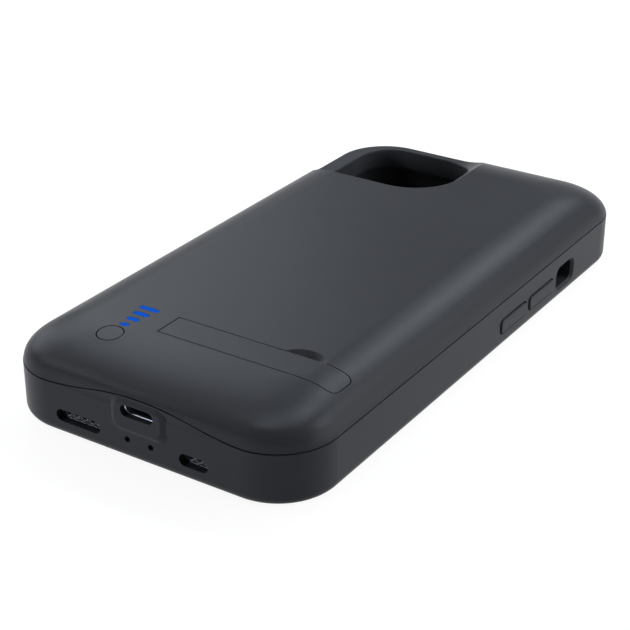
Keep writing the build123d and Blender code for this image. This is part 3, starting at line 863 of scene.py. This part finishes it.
@dataclass
class Studio:
    """Floor, lamps, surroundings and camera.

    Attributes:
        floor_reach: Half the floor's side.
        floor_drop: Gap under the case.
        floor_colour: Colour of the floor paper as shown on screen.
        floor_roughness: Roughness of the floor paper.
        floor_glow: White that the floor adds where it is seen, beside the case and far from it.
        floor_fade: Distances from the case at which the two hold.
        floor_bounce: Share of that white that lights the case.
        footprint: Half width and half length of the floor under the case, which stays dark.
        footprint_round: Corner radius of that floor.
        ambient: Plain light of the surroundings.
        backdrop_fade: Heights, as sines, between which the reflected backdrop gives way to the sky.
        sky: How bright the surroundings look overhead.
        azimuth: Direction of the camera, from the chin towards the volume keys.
        elevation: Height of the camera in degrees.
        distance: Distance of the camera.
        shift_right: Sideways offset of the camera.
        shift_up: Upward offset of the camera.
        lens: Focal length in Blender's millimetres.
        nearest: Shortest distance that the camera shows.
    """

    floor_reach: float = 4.0
    floor_drop: float = 0.02 * MM
    floor_colour: tuple[int, int, int] = (118, 118, 118)
    floor_roughness: float = 0.9
    floor_glow: tuple[float, float] = (0.91, 1.0)
    floor_fade: tuple[float, float] = (0.14, 0.6)
    floor_bounce: float = 0.2
    footprint: tuple[float, float] = (36.9 * MM, 75.3 * MM)
    footprint_round: float = 11.5 * MM
    ambient: float = 0.02
    backdrop_fade: tuple[float, float] = (0.05, 0.25)
    sky: float = 0.1
    azimuth: float = 33.162
    elevation: float = 27.173
    distance: float = 392.874 * MM
    shift_right: float = -6.321 * MM
    shift_up: float = 1.443 * MM
    lens: float = 91.62
    nearest: float = 10 * MM

    def surroundings(self) -> None:
        """Make the world: white where the camera sees it, a low white backdrop in reflections."""
        world = bpy.data.worlds.new("studio_world")
        bpy.context.scene.world = world
        world.use_nodes = True
        graph = Graph(world.node_tree)
        heading = graph.add("ShaderNodeTexCoord").outputs["Generated"]
        height = graph.add("ShaderNodeSeparateXYZ", Vector=heading).outputs["Z"]
        backdrop = graph.ramp(height, self.backdrop_fade, (1.0, self.sky))
        camera, mirrored = graph.sight()
        shown = graph.math("MAXIMUM", graph.math("MULTIPLY", mirrored, backdrop), self.ambient)
        strength = graph.math("MAXIMUM", camera, shown)
        graph.fill_inputs(world.node_tree.nodes["Background"], {"Color": WHITE, "Strength": strength})

    def outside(self, graph: Graph) -> bpy.types.NodeSocket:
        """Measure how far a place on the floor lies from the core of the footprint.

        Args:
            graph: Graph of the floor paper.

        Returns:
            The distance, which is the corner radius all along the footprint's edge.
        """
        place = graph.axes()
        squares = []
        for axis, half in zip("XY", self.footprint):
            beside = graph.math("ABSOLUTE", place.outputs[axis])
            past = graph.math("SUBTRACT", beside, half - self.footprint_round)
            squares.append(graph.math("POWER", graph.math("MAXIMUM", past, 0.0), 2.0))
        return graph.math("SQRT", graph.math("ADD", *squares))

    def paper(self) -> bpy.types.Material:
        """Make the floor paper, white where it is seen and dark under the case.

        Returns:
            The material of the floor.
        """
        paper = bpy.data.materials.new("studio_paper")
        paper.use_nodes = True
        graph = Graph(paper.node_tree)
        camera, mirrored = graph.sight()
        seen = graph.math("MAXIMUM", graph.math("MAXIMUM", camera, mirrored), self.floor_bounce)
        outside = self.outside(graph)
        clear = graph.math("GREATER_THAN", outside, self.footprint_round)
        white = graph.ramp(outside, self.floor_fade, self.floor_glow)
        graph.fill_inputs(
            paper.node_tree.nodes["Principled BSDF"],
            {
                "Base Color": linear(*self.floor_colour),
                "Roughness": self.floor_roughness,
                "Specular IOR Level": 0.0,
                "Emission Color": WHITE,
                "Emission Strength": graph.math("MULTIPLY", graph.math("MULTIPLY", seen, clear), white),
            },
        )
        return paper

    def floor(self) -> bpy.types.Object:
        """Lay the floor, which keeps the shadow of the case.

        Returns:
            The floor.
        """
        reach = self.floor_reach
        mesh = bpy.data.meshes.new("studio_floor")
        corners = [(-reach, -reach), (reach, -reach), (reach, reach), (-reach, reach)]
        mesh.from_pydata([(x, y, -self.floor_drop) for x, y in corners], [], [(0, 1, 2, 3)])
        mesh.materials.append(self.paper())
        ground = bpy.data.objects.new("studio_floor", mesh)
        bpy.context.scene.collection.objects.link(ground)
        return ground

    def camera(self) -> bpy.types.Object:
        """Set up the camera of the photograph.

        Returns:
            The camera.
        """
        turn, tilt = math.radians(self.azimuth), math.radians(self.elevation)
        back = Vector((math.sin(turn) * math.cos(tilt), -math.cos(turn) * math.cos(tilt), math.sin(tilt)))
        right = Vector((math.cos(turn), math.sin(turn), 0.0))
        up = back.cross(right)
        data = bpy.data.cameras.new("photo_camera")
        data.lens = self.lens
        data.clip_start = self.nearest
        camera = bpy.data.objects.new("photo_camera", data)
        bpy.context.scene.collection.objects.link(camera)
        camera.location = back * self.distance + right * self.shift_right + up * self.shift_up
        camera.rotation_euler = (-back).to_track_quat("-Z", "Y").to_euler()
        bpy.context.scene.camera = camera
        return camera

    def build(self) -> None:
        """Build the whole studio."""
        bpy.context.scene.view_settings.view_transform = "Standard"
        self.surroundings()
        self.floor()
        for softbox in SOFTBOXES:
            softbox.hang()
        self.camera()
        log.info("studio with %d lamps", len(SOFTBOXES))


def main() -> None:
    """Dress the part and build the studio around it."""
    logging.basicConfig(level=logging.INFO, format="%(name)s: %(message)s")
    for assembly in SUB_ASSEMBLIES:
        assembly().dress()
    Studio().build()


if __name__ == "__main__":
    main()
